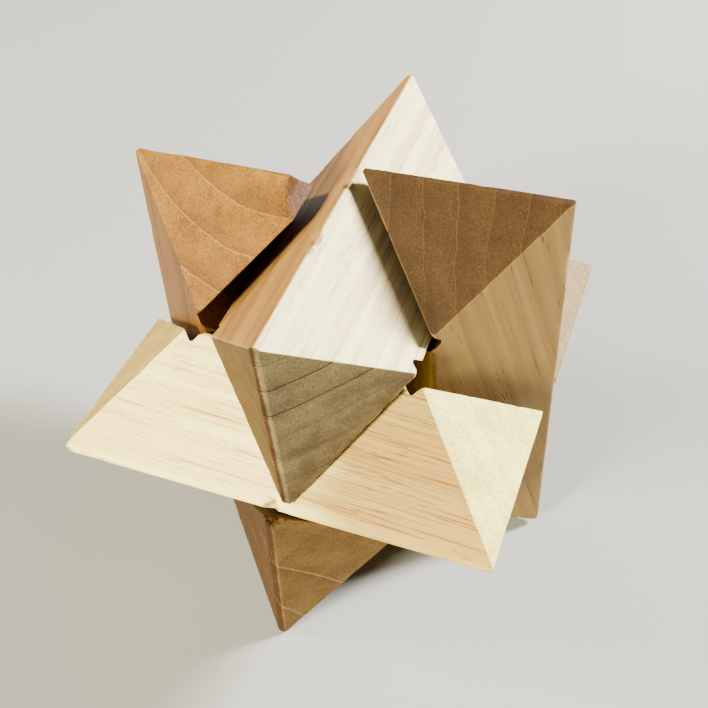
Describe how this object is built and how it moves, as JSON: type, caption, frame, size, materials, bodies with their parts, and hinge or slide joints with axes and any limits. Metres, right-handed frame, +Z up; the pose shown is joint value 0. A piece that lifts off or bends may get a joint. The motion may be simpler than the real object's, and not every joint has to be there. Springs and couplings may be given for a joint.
{
  "type": "wooden star burr puzzle",
  "caption": "Wooden star burr puzzle: notched square bars, all cut alike, lie crosswise in one another's notches and lock into a star that spreads open as one.",
  "frame": {"origin": "middle of the sanded flat on the bottom bar's outer edge, where the star stands", "axes": "+Z up, through the middle of the star and the top bar; +Y along the bottom bar, towards the rear bar; +X along the front bar, towards the right bar"},
  "size_m": [0.0761, 0.076, 0.0755],
  "materials": {
    "pale_wood": "sanded, waxed",
    "brown_wood": "sanded, waxed",
    "cream_wood": "sanded, waxed",
    "pinkish_wood": "sanded, waxed",
    "golden_brown_wood": "sanded, waxed",
    "dark_brown_wood": "sanded, waxed"
  },
  "bodies": {
    "bottom": {"bottom_bar": "brown_wood"},
    "top": {"top_bar": "pale_wood"},
    "front": {"front_bar": "cream_wood"},
    "rear": {"rear_bar": "pinkish_wood"},
    "left": {"left_bar": "golden_brown_wood"},
    "right": {"right_bar": "dark_brown_wood"}
  },
  "joints": [
    {"name": "top_slide", "type": "slide", "parent": "bottom", "child": "top", "axis": [0, 0, 1], "range_m": [0, 0.036]},
    {"name": "front_slide", "type": "slide", "parent": "bottom", "child": "front", "axis": [0, -0.7071, 0.7071], "range_m": [0, 0.0255]},
    {"name": "rear_slide", "type": "slide", "parent": "bottom", "child": "rear", "axis": [0, 0.7071, 0.7071], "range_m": [0, 0.0255]},
    {"name": "left_slide", "type": "slide", "parent": "bottom", "child": "left", "axis": [-0.7071, 0, 0.7071], "range_m": [0, 0.0255]},
    {"name": "right_slide", "type": "slide", "parent": "bottom", "child": "right", "axis": [0.7071, 0, 0.7071], "range_m": [0, 0.0255]}
  ],
  "couplings": [
    {"joint": "front_slide", "follows": "top_slide", "ratio": 0.70711},
    {"joint": "rear_slide", "follows": "top_slide", "ratio": 0.70711},
    {"joint": "left_slide", "follows": "top_slide", "ratio": 0.70711},
    {"joint": "right_slide", "follows": "top_slide", "ratio": 0.70711}
  ]
}
